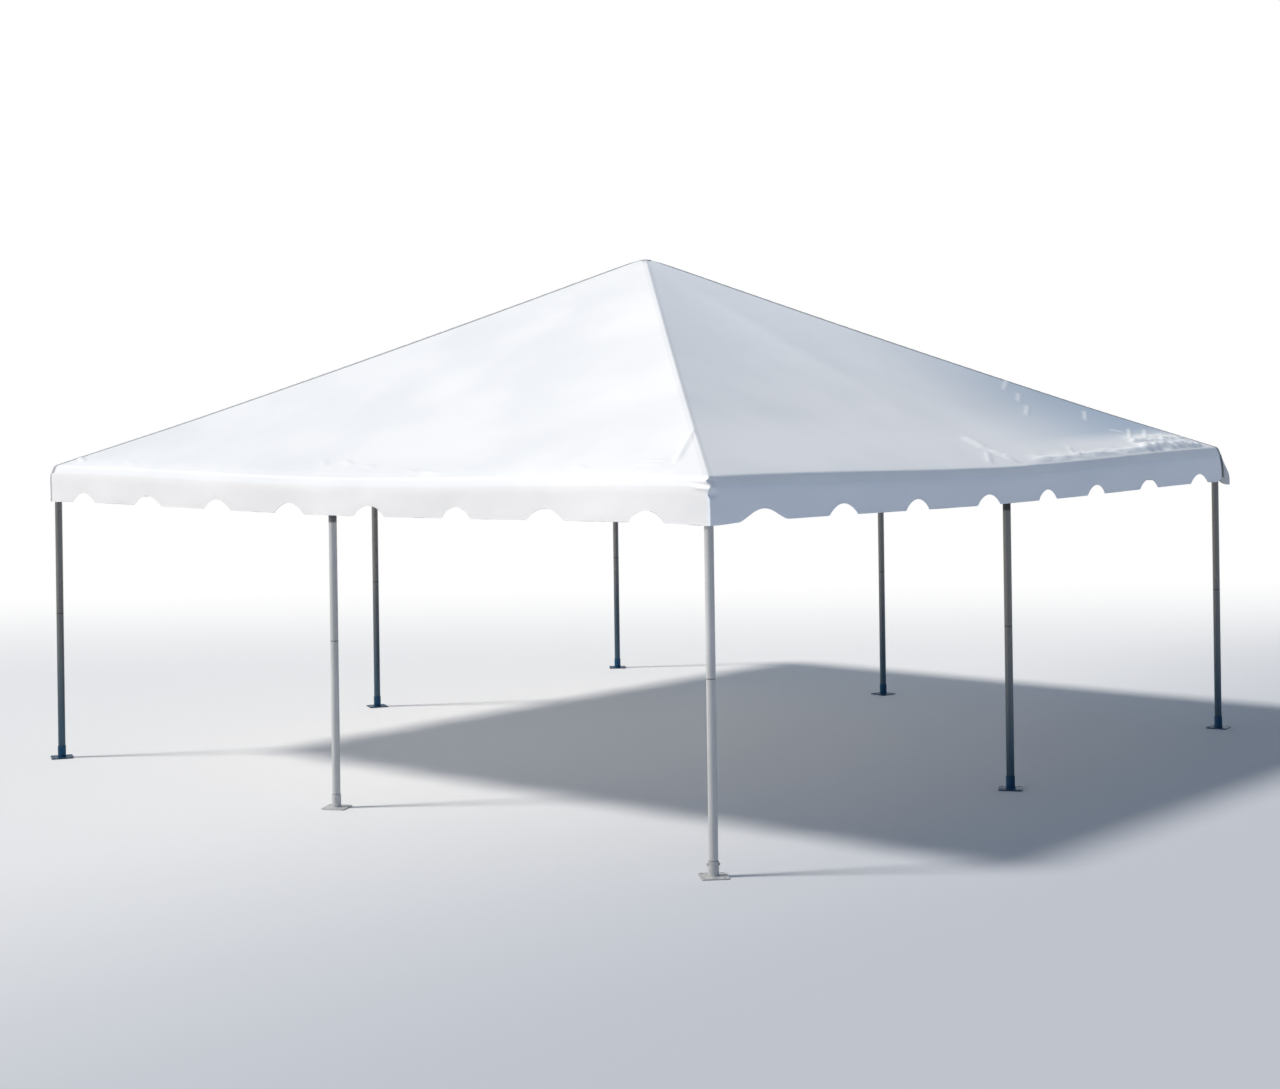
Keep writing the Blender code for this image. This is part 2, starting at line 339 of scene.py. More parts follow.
def flat_direction(turn_deg):
    """A level direction, turned that far from +X."""
    return Vector((math.cos(math.radians(turn_deg)), math.sin(math.radians(turn_deg)), 0))


def foot_plate_model():
    """One foot plate at the origin, with its socket and its weld."""
    bpy.ops.object.select_all(action="DESELECT")
    bpy.ops.mesh.primitive_cube_add(size=1, location=UP * (PLATE_THICKNESS / 2))
    plate = bpy.context.object
    plate.scale = (PLATE_SIDE, PLATE_SIDE, PLATE_THICKNESS)
    settle()
    bpy.ops.object.mode_set(mode="EDIT")
    bpy.ops.mesh.select_mode(type="EDGE")
    bpy.ops.mesh.select_all(action="DESELECT")
    bpy.ops.object.mode_set(mode="OBJECT")
    for edge in plate.data.edges:
        low, high = (plate.data.vertices[index].co for index in edge.vertices)
        edge.select = abs(low.z - high.z) > PLATE_THICKNESS / 2
    bpy.ops.object.mode_set(mode="EDIT")
    bpy.ops.mesh.bevel(offset=PLATE_CORNER, segments=8)
    bpy.ops.object.mode_set(mode="OBJECT")
    for turn_deg in (45, 135, 225, 315):
        hole = flat_direction(turn_deg) * STAKE_HOLE_OUT * math.sqrt(2)
        cut(plate, rod(hole - UP * 0.01, hole + UP * 0.02, STAKE_HOLE_RADIUS, sides=24))
    eased(plate)
    foot = UP * PLATE_THICKNESS
    socket = tube(foot, UP * FOOT_SOCKET_TOP, FOOT_SOCKET_RADIUS, SOCKET_WALL)
    bead = weld(ring(foot, FOOT_SOCKET_RADIUS + 0.001))
    return joined([plate, socket, bead])


foot_plate = foot_plate_model()
foot_bolt = through_bolt(FOOT_SOCKET_RADIUS)
for leg_name, (plate_turn_deg, bolt_turn_deg) in FOOT_TURNS_DEG.items():
    low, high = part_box(f"leg_lower_{leg_name}")
    spot = Vector(((low.x + high.x) / 2, (low.y + high.y) / 2, 0))
    place = Matrix.Translation(spot) @ Matrix.Rotation(math.radians(plate_turn_deg), 4, "Z")
    metal = LIT_FOOT if leg_name in LIT_LEGS else SHADED_FOOT
    piece = finished(copied(foot_plate, place), f"foot_{leg_name}", metal)
    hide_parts(f"foot_plate_{leg_name}")
    place = lies_along(spot + UP * FOOT_BOLT_HEIGHT, flat_direction(bolt_turn_deg))
    finished(copied(foot_bolt, place), f"foot_bolt_{leg_name}", metal)
bpy.data.objects.remove(foot_plate)
bpy.data.objects.remove(foot_bolt)


# Pipes: two-inch tube with a thin wall for the legs, the eaves and the rafters, cut square and
# pushed into the sockets. A leg is two lengths that meet over an inner sleeve at a thin seam.
# The metal is drawn, so it has fine streaks along it, and the lengths differ a little in tone.
PIPE_WALL = 0.0025
SEAM_EDGE = 0.0012
# Grime at the joints; the same colour at the tops of the middle legs is a painted shadow.
GRIME_AND_SHADE = (0.02, 0.02, 0.025, 1)
SEAM_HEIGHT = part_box("leg_lower_front_left")[1].z


def pipe_metal(name, long_axis, tone, foot_tone, metallic=0.9, least_rough=0.26):
    """Drawn tube with streaks, rubbed patches, a foot tone, grime at its joints and a painted
    shadow at the top.
    """
    material, shader, place = new_finish(name, metallic)
    scale = [60.0, 60.0, 60.0]
    scale[long_axis] = 0.8
    streak = place.stretched(*scale).clouds(1.0, detail=4).ramp(0.3, 0.7)
    patch = place.clouds(2.2, detail=4).ramp(0.35, 0.65)
    scratch = place.stretched(*(value * 14 for value in scale)).clouds(1.0, detail=3)
    height = place.axis("Z")
    darker = tuple(0.80 * part for part in tone) + (1,)
    lighter = tuple(1.15 * part for part in tone) + (1,)
    metal = (streak * 0.5 + patch * 0.5).tint(darker, lighter)
    low = 1 - height.ramp(0.0, 1.3)
    metal = (low * 0.8).tint(metal, foot_tone + (1,))
    seam = 1 - abs(height - SEAM_HEIGHT).ramp(0.0008, 0.0040)
    mouth = 1 - abs(height - FOOT_SOCKET_TOP - 0.002).ramp(0.0008, 0.0040)
    # Only the legs in the middle of the sides stand where x or y is small. Their tops get a
    # painted shadow of the valance just below the hem, up to where the fitting covers them.
    middle = 1 - abs(place.axis("X") * place.axis("Y")).ramp(1.0, 3.0)
    top = height.ramp(1.768, 1.788) * (1 - height.ramp(1.88, 1.92)) * middle
    color = (seam * 0.85 + mouth * 0.60 + top * 0.80).tint(metal, GRIME_AND_SHADE)
    roughness = streak * 0.08 + patch * 0.10 + least_rough
    feed(shader, {"Base Color": color, "Roughness": roughness, "Normal": scratch.relief(0.00004)})
    return material


# Lit and shaded copies of one metal: the shaded legs are painted dark, and their blue-teal foot is
# a painted reflection of dark ground.
LIT_PIPE = (0.56, 0.555, 0.55)
SHADED_PIPE = (0.22, 0.215, 0.205)
FRAME_PIPE = (0.34, 0.35, 0.37)
LIT_LEG = pipe_metal("pipe_lit_leg", 2, LIT_PIPE, (0.50, 0.50, 0.50), 0.15)
SHADED_LEG = pipe_metal("pipe_shaded_leg", 2, SHADED_PIPE, (0.025, 0.080, 0.130))
FRAME_METALS = [
    pipe_metal("pipe_along_x", 0, FRAME_PIPE, FRAME_PIPE),
    pipe_metal("pipe_along_y", 1, FRAME_PIPE, FRAME_PIPE),
]


def pipe_ends(node):
    """The middles of a pipe's two ends, the lower or nearer one first."""
    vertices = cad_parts[node].data.vertices
    places = {tuple(round(part, 5) for part in vertex.co) for vertex in vertices}
    points = [Vector(place) for place in sorted(places)]
    middle = sum(points, Vector()) / len(points)
    far = max(points, key=lambda point: (point - middle).length) - middle
    halves = ([], [])
    for point in points:
        halves[(point - middle).dot(far) > 0].append(point)
    ends = [sum(half, Vector()) / len(half) for half in halves]
    return sorted(ends, key=lambda end: (round(end.z, 3), end.x, end.y))


low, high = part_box("leg_lower_front_left")
PIPE_RADIUS = (high.x - low.x) / 2
for node in sorted(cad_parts):
    if node.startswith(("leg_", "eave_pipe_", "hip_rafter_", "side_rafter_")):
        start, end = pipe_ends(node)
        run = end - start
        if not node.startswith("leg_"):
            metal = FRAME_METALS[abs(run.y) > abs(run.x)]
        elif node.endswith(LIT_LEGS):
            metal = LIT_LEG
        else:
            metal = SHADED_LEG
        piece = tube(start, end, PIPE_RADIUS, PIPE_WALL, SEAM_EDGE)
        finished(piece, f"{node}_tube", metal)
        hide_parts(node)


# Eave fittings: short lengths of wider steel tube welded to one another and galvanised.
# A corner takes a leg, two eave pipes and a hip rafter; the middle of a side takes a leg,
# two eave pipes and a side rafter. A set screw in a welded nut holds each pipe.
SOCKET_RADIUS = 0.0287
LEG_SOCKET_RADIUS = 0.0295
SOCKET_LENGTH = 0.200
BORE_DEPTH = 0.140
BORE_RADIUS = 0.0257
CORNER_MOUTH_HEIGHT = 1.856
SIDE_MOUTH_HEIGHT = 1.830
SCREW_FROM_MOUTH = 0.045
SCREW_RADIUS = 0.0050
SCREW_HEXAGON_RADIUS = 0.0098
SCREW_NUT_TOP = 0.008
SCREW_HEAD_FOOT = 0.014
SCREW_HEAD_TOP = 0.0204
CORNER_TURN_DEG = {"front_left": 0, "front_right": 90, "back_right": 180, "back_left": 270}
SIDE_TURN_DEG = {"front": 0, "right": 90, "back": 180, "left": 270}


def crossing(start, outward, radius, body_point, body_axis, body_radius):
    """The closed line where a round socket comes out of a round body."""
    side = outward.orthogonal().normalized()
    top = outward.cross(side)
    run = outward - outward.dot(body_axis) * body_axis
    points = []
    for index in range(BEAD_POINTS):
        turn = math.tau * index / BEAD_POINTS
        rim = start + radius * (math.cos(turn) * side + math.sin(turn) * top)
        offset = rim - body_point
        offset -= offset.dot(body_axis) * body_axis
        half = offset.dot(run)
        inside = half ** 2 - run.length_squared * (offset.length_squared - body_radius ** 2)
        points.append(rim + outward * (math.sqrt(max(inside, 0)) - half) / run.length_squared)
    return points


def set_screw():
    """A welded nut on a socket's wall, with a hexagon screw in it, along +Z."""
    return eased(joined([
        rod(UP * -0.001, UP * SCREW_NUT_TOP, SCREW_HEXAGON_RADIUS, sides=6),
        rod(UP * 0.004, UP * SCREW_HEAD_FOOT, SCREW_RADIUS, sides=24),
        rod(UP * SCREW_HEAD_FOOT, UP * SCREW_HEAD_TOP, SCREW_HEXAGON_RADIUS, sides=6),
    ]))


def soften_mouth(piece, mouth, outward):
    """Takes the sharp edges off a socket's mouth."""
    bpy.ops.object.select_all(action="DESELECT")
    piece.select_set(True)
    bpy.context.view_layer.objects.active = piece
    bpy.ops.object.mode_set(mode="EDIT")
    bpy.ops.mesh.select_mode(type="EDGE")
    bpy.ops.mesh.select_all(action="DESELECT")
    bpy.ops.object.mode_set(mode="OBJECT")
    for edge in piece.data.edges:
        offsets = [piece.data.vertices[index].co - mouth for index in edge.vertices]
        level = all(abs(offset.dot(outward)) < 0.0002 for offset in offsets)
        edge.select = level and all(offset.length < 0.04 for offset in offsets)
    bpy.ops.object.mode_set(mode="EDIT")
    bpy.ops.mesh.bevel(offset=MOUTH_EDGE, segments=2)
    bpy.ops.object.mode_set(mode="OBJECT")


def welded_fitting(rods, mouths, seams):
    """Rods welded into one piece, bored at their mouths, with beads of weld along the seams."""
    piece = rod(*rods[0])
    for rod_ends in rods[1:]:
        tool = rod(*rod_ends)
        apply_modifier(piece, "BOOLEAN", operation="UNION", solver="EXACT", object=tool)
        bpy.data.objects.remove(tool)
    for mouth, outward in mouths:
        cut(piece, rod(mouth - outward * BORE_DEPTH, mouth + outward * BORE_DEPTH, BORE_RADIUS))
    for mouth, outward in mouths:
        soften_mouth(piece, mouth, outward)
    return joined([piece] + [weld(seam) for seam in seams])


def screw_places(mouths):
    """Where the set screws go: under a level or sloping socket, and inside a leg's socket."""
    places = []
    for mouth, outward in mouths:
        if outward.z < -0.9:
            side = Vector((-mouth.x, -mouth.y, 0)).normalized()
            radius = LEG_SOCKET_RADIUS
        else:
            side = (UP.dot(outward) * outward - UP).normalized()
            radius = SOCKET_RADIUS
        places.append(lies_along(mouth - outward * SCREW_FROM_MOUTH + side * radius, side))
    return places


def stand_fittings(rods, mouths, seams, copies):
    """Welds a fitting, and stands a turned copy of it and of its screws for each node."""
    model = welded_fitting(rods, mouths, seams)
    screws = joined([copied(SCREW, place) for place in screw_places(mouths)])
    for node, name, turn_deg in copies:
        turn = Matrix.Rotation(math.radians(turn_deg), 4, "Z")
        piece = finished(copied(model, turn), f"{name}_welded", GALVANISED)
        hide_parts(node)
        finished(copied(screws, turn), f"{name}_set_screws", GALVANISED)
    bpy.data.objects.remove(model)
    bpy.data.objects.remove(screws)


def rafter_line(node, place):
    """Where a rafter's axis passes over a place, and its direction towards the peak."""
    low, high = pipe_ends(node)
    along = (high - low).normalized()
    far = max((0, 1), key=lambda index: abs(along[index]))
    return low + along * (place[far] - low[far]) / along[far], along


SCREW = set_screw()
eave_axis = pipe_ends("eave_pipe_front_left")[0].z
along_x = Vector((1, 0, 0))
along_y = Vector((0, 1, 0))

corner = pipe_ends("leg_upper_front_left")[0]
corner_top, hip_along = rafter_line("hip_rafter_front_left", corner)
corner_centre = Vector((corner.x, corner.y, eave_axis))
corner_mouths = [(Vector((corner.x, corner.y, CORNER_MOUTH_HEIGHT)), -UP)]
corner_rods = [(corner_top, corner_mouths[0][0], LEG_SOCKET_RADIUS)]
corner_seams = []
branches = ((corner_top, hip_along), (corner_centre, along_x), (corner_centre, along_y))
for start, outward in branches:
    mouth = start + outward * SOCKET_LENGTH
    corner_rods.append((start, mouth, SOCKET_RADIUS))
    corner_mouths.append((mouth, outward))
    corner_seams.append(
        crossing(start, outward, SOCKET_RADIUS, corner_centre, UP, LEG_SOCKET_RADIUS))
stand_fittings(corner_rods, corner_mouths, corner_seams, [
    (f"corner_fitting_{name}", f"corner_fitting_{name}", turn_deg)
    for name, turn_deg in CORNER_TURN_DEG.items()
])

middle = pipe_ends("leg_upper_front_mid")[0]
middle_top, rafter_along = rafter_line("side_rafter_front", middle)
middle_centre = Vector((middle.x, middle.y, eave_axis))
side_mouths = [
    (middle_centre - along_x * SOCKET_LENGTH, -along_x),
    (middle_centre + along_x * SOCKET_LENGTH, along_x),
    (Vector((middle.x, middle.y, SIDE_MOUTH_HEIGHT)), -UP),
    (middle_top + rafter_along * SOCKET_LENGTH, rafter_along),
]
side_rods = [
    (side_mouths[0][0], side_mouths[1][0], SOCKET_RADIUS),
    (middle_centre, side_mouths[2][0], LEG_SOCKET_RADIUS),
    (middle_top, side_mouths[3][0], SOCKET_RADIUS),
]
side_seams = [
    crossing(middle_centre, -UP, LEG_SOCKET_RADIUS, middle_centre, along_x, SOCKET_RADIUS),
    crossing(middle_top, rafter_along, SOCKET_RADIUS, middle_centre, along_x, SOCKET_RADIUS),
]
stand_fittings(side_rods, side_mouths, side_seams, [
    (f"side_fitting_{name}", f"side_fitting_{name}", turn_deg)
    for name, turn_deg in SIDE_TURN_DEG.items()
])


# Crown: a round steel hub under the peak with eight sockets welded round it, one for each
# rafter, and a round boss on top that spreads the load of the canopy. It is galvanised too.
CROWN_LENGTH = 0.240
HUB_RADIUS = 0.062
HUB_BELOW = 0.045
HUB_ABOVE = 0.006
BOSS_RADIUS = 0.045
SOCKET_INSIDE = 0.031

tent_centre = Vector((0, 0, 0))
hub_centre = rafter_line("side_rafter_front", tent_centre)[0]
boss_top = Vector((0, 0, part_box("crown_fitting")[1].z))
crown_rods = [
    (hub_centre - UP * HUB_BELOW, hub_centre + UP * HUB_ABOVE, HUB_RADIUS),
    (hub_centre, boss_top, BOSS_RADIUS),
]
crown_mouths = []
crown_seams = []
for node in sorted(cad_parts):
    if node.startswith(("side_rafter_", "hip_rafter_")):
        peak, along = rafter_line(node, tent_centre)
        mouth = peak - along * CROWN_LENGTH
        crown_rods.append((peak - along * SOCKET_INSIDE, mouth, SOCKET_RADIUS))
        crown_mouths.append((mouth, -along))
        crown_seams.append(crossing(peak, -along, SOCKET_RADIUS, hub_centre, UP, HUB_RADIUS))
stand_fittings(crown_rods, crown_mouths, crown_seams, [("crown_fitting", "crown", 0)])
bpy.data.objects.remove(SCREW)


# Canopy: one sewn sheet of white coated fabric over the whole frame, stretched from the crown
# over the rafters and rolled over the eave pipes. Its four slopes are welded at the hips into
# a narrow raised seam, and it is creased where it was pulled tight over the eave.
CANOPY_HALF = -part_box("roof_panel_front")[0].y
PEAK_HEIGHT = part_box("roof_panel_front")[1].z
CORNER_HEIGHT = 2.095
EAVE_DIP = 0.045
ROOF_SAG = 0.022
PEAK_ROUNDING = 0.040
SHEET_THICKNESS = 0.0010
SHEET_BELOW = 0.0082
RAFTER_RIDGE = 0.028
GRID_CELLS = 140
ROLL_CELLS = 13
ROLL_START = 3.022
ROLL_LENGTH = 0.075
ROLL_STEEP = math.radians(72)
ROLL_TIGHT = 0.026
ROLL_END = 0.125
ROLL_STEPS = 500
STEPS_PER_METRE = 1000
SEAM_HALF = 0.035
SEAM_RISE = 0.0010
WELT_LINES = (-0.012, -0.004, 0.004, 0.012)
CREASE_REACH = 0.35
FINE_BESIDE_CREASE = 0.055
DEEP_FOLD = 0.004
HEM_FOLD = 0.016
FITTING_BULGE = 0.0045

# Each crease runs between two places, given as distance along the side from its middle and
# distance out from the peak, with its half width and its height.
CREASES = {
    "front": (
        (2.51, 2.52, 2.69, 2.89, 0.015, 0.0120),
        (1.72, 2.27, 1.67, 2.50, 0.010, 0.0040),
        (2.40, 2.86, 2.62, 2.87, 0.010, 0.0055),
        (2.42, 2.91, 2.60, 2.91, 0.010, 0.0055),
        (-2.91, 2.91, -2.75, 2.97, 0.012, 0.0120),
        (-0.32, 2.81, -0.20, 2.90, 0.012, 0.0070),
        (-0.10, 2.82, 0.04, 2.89, 0.012, 0.0080),
        (0.18, 2.88, 0.26, 2.91, 0.012, 0.0070),
        (0.65, 2.95, 0.72, 2.98, 0.011, 0.0070),
        (0.77, 2.97, 0.90, 2.98, 0.011, 0.0070),
        (1.98, 2.92, 2.08, 2.95, 0.011, 0.0060),
        (-2.28, 2.93, -2.16, 2.97, 0.012, 0.0040),
    ),
    "right": (
        (0.11, 2.64, 0.11, 2.82, 0.018, 0.0230),
        (0.11, 2.82, 0.18, 2.99, 0.019, 0.0220),
        (0.06, 2.84, -0.15, 2.99, 0.012, 0.0100),
        (1.99, 1.86, 1.66, 2.01, 0.009, 0.0060),
        (1.78, 2.07, 1.59, 2.18, 0.009, 0.0080),
        (1.63, 2.23, 1.37, 2.37, 0.009, 0.0080),
        (2.20, 2.38, 1.97, 2.51, 0.009, 0.0070),
        (2.31, 2.68, 1.98, 2.86, 0.010, 0.0090),
        (2.50, 2.71, 2.19, 2.87, 0.010, 0.0090),
        (1.12, 2.84, 0.97, 2.96, 0.010, 0.0080),
        (2.02, 2.67, 2.15, 2.72, 0.010, 0.0060),
        (0.42, 2.975, 0.90, 2.985, 0.010, 0.0080),
        (0.93, 2.970, 1.45, 2.985, 0.011, 0.0090),
        (1.50, 2.975, 2.05, 2.980, 0.012, 0.0090),
        (2.10, 2.965, 2.68, 2.975, 0.016, 0.0100),
    ),
    "back": ((-1.10, 2.50, -1.05, 2.85, 0.016, 0.0060), (2.45, 2.62, 2.60, 2.88, 0.014, 0.0060)),
    "left": ((-2.40, 2.55, -2.58, 2.88, 0.016, 0.0060), (0.90, 2.60, 1.02, 2.92, 0.014, 0.0060)),
}
# Where the sheet is gathered above its roll: from and to along the side, how far in it starts,
# how high its small folds are, and how much it is puffed up.
GATHERS = {
    "front": ((-2.9, 2.9, 2.90, 0.0015, 0.003),),
    "right": ((0.35, 2.20, 2.935, 0.0085, 0.009), (1.90, 2.92, 2.81, 0.0130, 0.017)),
    "back": ((-2.9, 2.9, 2.90, 0.0030, 0.004),),
    "left": ((-2.9, 2.9, 2.90, 0.0030, 0.004),),
}


def soft_step(low, high, value):
    """Goes softly from 0 to 1 as the value goes from low to high."""
    share = min(max((value - low) / (high - low), 0.0), 1.0)
    return share * share * (3 - 2 * share)


def eave_height(across):
    """Height of the canopy's edge, where across runs from -1 to 1 along a side."""
    return CORNER_HEIGHT - EAVE_DIP * math.cos(math.pi * across / 2) ** 2


def roof_height(across, out):
    """Height of the canopy's outer face, at a distance out from the peak square to the side."""
    reach = math.hypot(CANOPY_HALF, PEAK_ROUNDING) - PEAK_ROUNDING
    slope = (PEAK_HEIGHT - eave_height(across)) / reach
    fall = slope * (math.hypot(out, PEAK_ROUNDING) - PEAK_ROUNDING)
    share = out / CANOPY_HALF
    return PEAK_HEIGHT - fall - 4 * ROOF_SAG * share * (1 - share)


def roll_profile():
    """How far out and down the sheet has gone, at each step past the start of its roll."""
    slope = math.atan((roof_height(0, 2.9) - roof_height(0, 3.0)) / 0.1)
    places = [(0.0, 0.0)]
    for index in range(ROLL_STEPS):
        distance = (index + 0.5) / STEPS_PER_METRE
        angle = slope + (ROLL_STEEP - slope) * min(distance / ROLL_TIGHT, 1.0)
        angle += (math.pi / 2 - ROLL_STEEP) * soft_step(ROLL_TIGHT, ROLL_END, distance)
        out = places[-1][0] + math.cos(angle) / STEPS_PER_METRE
        drop = places[-1][1] + math.sin(angle) / STEPS_PER_METRE
        places.append((out, drop))
    return places


ROLL = roll_profile()


def rolled(distance):
    """How far out and down the sheet has gone at a distance past the start of its roll."""
    index = min(int(distance * STEPS_PER_METRE), len(ROLL) - 2)
    share = distance * STEPS_PER_METRE - index
    first, second = ROLL[index], ROLL[index + 1]
    return first[0] + (second[0] - first[0]) * share, first[1] + (second[1] - first[1]) * share


def sheet_height(across, out):
    """Height of the sheet: it lies on the rafters and sinks a little between them."""
    lowered = SHEET_BELOW * (1 - soft_step(0.75 * CANOPY_HALF, ROLL_START, out))
    between = min(abs(across), 1.0)
    sunk = RAFTER_RIDGE * 4 * between * (1 - between) * soft_step(0, 1.6, out)
    return roof_height(across, out) - lowered - sunk * (1 - soft_step(2.2, ROLL_START, out))


def crease_share(crease, along, out):
    """How strongly a crease shows at a place, from 0 to 1, and how far off the place is."""
    start = Vector(crease[0:2])
    run = Vector(crease[2:4]) - start
    half_width = crease[4]
    spot = Vector((along, out)) - start
    share = spot.dot(run) / run.length_squared
    off = (spot - run * min(max(share, 0), 1)).length
    ends = soft_step(-0.15, 0.25, share) * (1 - soft_step(0.75, 1.15, share))
    return ends * math.exp(-(off / half_width) ** 2), off


def gather_share(gather, along, out):
    """How strongly a gather shows at a place, from 0 to 1. It fades out towards the hips."""
    first, last, inner = gather[:3]
    ends = soft_step(first, first + 0.15, along) * (1 - soft_step(last - 0.15, last, along))
    rise = soft_step(inner - 0.06, inner + 0.09, out)
    return ends * rise * soft_step(0.02, 0.24, out - abs(along))


def crease_lift(side, along, out):
    """How far the creases and gathers lift the sheet at a place, and how much painted sheen it
    gets.

    Only the right side gets the painted sheen, which turns its creases and gathers pale.
    """
    lift = 0.0
    painted_sheen = 0.0
    for crease in CREASES[side]:
        if abs(along - (crease[0] + crease[2]) / 2) < CREASE_REACH:
            share = crease_share(crease, along, out)[0]
            lift += crease[5] * share
            painted_sheen += share * (side == "right")
    for gather in GATHERS[side]:
        share = gather_share(gather, along, out)
        if share > 0:
            fold_height, puff = gather[3:]
            broad = Vector((along * 6, out * 16 - along * 2, SIDE_TURN_DEG[side]))
            fine = Vector((along * 17 + out * 6, out * 30, SIDE_TURN_DEG[side]))
            fold = 1 - 3.2 * abs(noise.noise(broad)) + 0.6 * noise.noise(fine)
            lift += share * (fold_height * fold + puff)
            painted_sheen += share * (0.35 + 0.85 * fold) * min(fold_height * 120, 1.0)
    lift *= 1 - soft_step(ROLL_START - 0.028, ROLL_START, out)
    return lift, min(max(painted_sheen, 0.0), 1.0)


def bulge(along):
    """How far the fitting in the middle of a side pushes the sheet out."""
    return FITTING_BULGE * (1 - soft_step(0.20, 0.34, abs(along)))


def plan_distance(share):
    """Spreads the grid's even lines so that they lie closer together towards the eave."""
    roll_share = 1 - 2 * ROLL_CELLS / GRID_CELLS
    if abs(share) > roll_share:
        size = ROLL_START + ROLL_LENGTH * (abs(share) - roll_share) / (1 - roll_share)
    else:
        even = abs(share) / roll_share
        size = ROLL_START * (1.45 * even - 0.45 * even ** 2)
    return math.copysign(size, share)


def side_of(place):
    """The side that a place on the canopy belongs to, with its distances along and out."""
    if abs(place.x) > abs(place.y):
        return ("right", place.y, place.x) if place.x > 0 else ("left", -place.y, -place.x)
    return ("back", -place.x, place.y) if place.y > 0 else ("front", place.x, -place.y)


def side_point(side, along, out, height):
    """A point given as seen from one side, turned to where that side is."""
    turn = Matrix.Rotation(math.radians(SIDE_TURN_DEG[side]), 4, "Z")
    return turn @ Vector((along, -out, height))


def corner_pull(place):
    """How far the near corner's edge is pulled in and out below the roll."""
    below = CORNER_HEIGHT - place.z
    near = math.hypot(place.x - CANOPY_HALF, place.y + CANOPY_HALF)
    wave = -0.002 - 0.008 * math.cos(math.tau * (below - 0.012) / 0.075)
    fade = soft_step(0, 0.015, below) * (1 - soft_step(0.085, 0.135, below))
    return 1.3 * wave * fade * math.exp(-(near / 0.05) ** 2)


def corner_fold(along, height):
    """How far soft level folds beside the near corner push the front of the sheet out."""
    level = height - 0.10 * (CANOPY_HALF - along)
    window = soft_step(2.014, 2.034, level) * (1 - soft_step(2.074, 2.094, level))
    wave = 0.0045 + 0.0045 * math.cos(math.tau * (level - 2.074) / 0.040)
    ends = soft_step(2.90, 3.00, along) * (1 - 0.7 * soft_step(3.035, 3.052, along))
    return wave * window * ends


def white_vinyl(name, with_hem):
    """Coated fabric: a faint weave, soft wrinkles, a welded hem or grey hip seams, and painted
    light and shade.
    """
    material, shader, place = new_finish(name)
    across = place.axis("X")
    along = place.axis("Y")
    weave = place.stretched(430, 430, 430).clouds(1.0, detail=1)
    wrinkle = place.clouds(5.0, detail=4)
    mottle = place.clouds(1.3, detail=3).ramp(0.35, 0.65)
    height = wrinkle * 0.0030 + weave * 0.00006
    # This is 1 over the front left and back right quarters, whose hips make the roof's outline.
    outer = (across * along).ramp(-0.01, 0.01)
    if with_hem:
        # The map gives the distance along the strip and the height above its hem.
        strip = place.node("UVMap", {"uv_map": "UVMap"})
        above = strip.axis("Y")
        # The mottle is the fabric's own tone; the fall towards -X is painted shade.
        mottle_and_shade = mottle * 0.5 + across.ramp(-2.4, 0.6) * 0.5
        color = mottle_and_shade.tint((0.78, 0.77, 0.765, 1), (0.90, 0.885, 0.88, 1))
        # The right strip is tinted blue-white as a painted shade.
        right = across.ramp(3.02, 3.05)
        color = (right * 0.75).tint(color, (0.86, 0.90, 0.96, 1))
        # Grey dashes along the very edge of the hem are a painted shadow.
        hem_edge_shadow = place.clouds(6.0, detail=3).ramp(0.50, 0.60) * (1 - above.ramp(0.0015, 0.0050))
        color = (hem_edge_shadow * 0.55).tint(color, (0.30, 0.31, 0.33, 1))
        # A painted shadow line at the end of one strip, darkest at the right, where two have
        # parted.
        end = (strip.axis("X") * across).ramp(9.20, 9.24) * outer
        color = (end * (across.ramp(0.0, 1.0) * 0.42 + 0.53)).tint(color, (0.04, 0.05, 0.07, 1))
        fold = 1 - abs(above - HEM_FOLD).ramp(0.0006, 0.0020)
        height = height - fold * 0.0005
    else:
        # The mottle is the fabric's own tone; the rise towards +X is painted light.
        tone = mottle * 0.4 + across.ramp(-2.4, 2.4) * 0.6
        color = tone.tint((0.82, 0.83, 0.845, 1), (0.92, 0.92, 0.925, 1))
        # The right slope has a painted blue-grey shade at its far end and painted light below the
        # peak.
        far_end_shade = along.ramp(0.1, 2.5) * across.ramp(0.3, 1.4) * (1 - across.ramp(2.66, 2.86))
        far_end_shade = far_end_shade * (across - along).ramp(-0.05, 0.03)
        color = (far_end_shade * 0.80).tint(color, (0.36, 0.47, 0.60, 1))
        peak_light = (across - abs(along)).ramp(-0.02, 0.02) * (1 - across.ramp(0.6, 2.2))
        color = peak_light.tint(color, (0.95, 0.965, 0.98, 1))
        # A painted sheen makes the creases and gathers of the right slope pale.
        painted_sheen = place.node("Attribute", {"attribute_name": "painted_sheen"}, output="Fac")
        color = painted_sheen.tint(color, (0.97, 0.975, 0.98, 1))
        # The hip seams are faint grey; on the outline hips they are much darker, a painted shade
        # of the hip's far side.
        seam = 1 - abs(abs(across) - abs(along)).ramp(SEAM_HALF, SEAM_HALF + 0.003)
        color = (seam * (outer * 0.60 + 0.08)).tint(color, (0.17, 0.17, 0.18, 1))
    feed(shader, {
        "Base Color": color,
        "Roughness": mottle * 0.08 + 0.42,
        "Normal": height.relief(1.0),
    })
    return material


CANOPY_VINYL = white_vinyl("canopy_vinyl", False)
VALANCE_VINYL = white_vinyl("valance_vinyl", True)

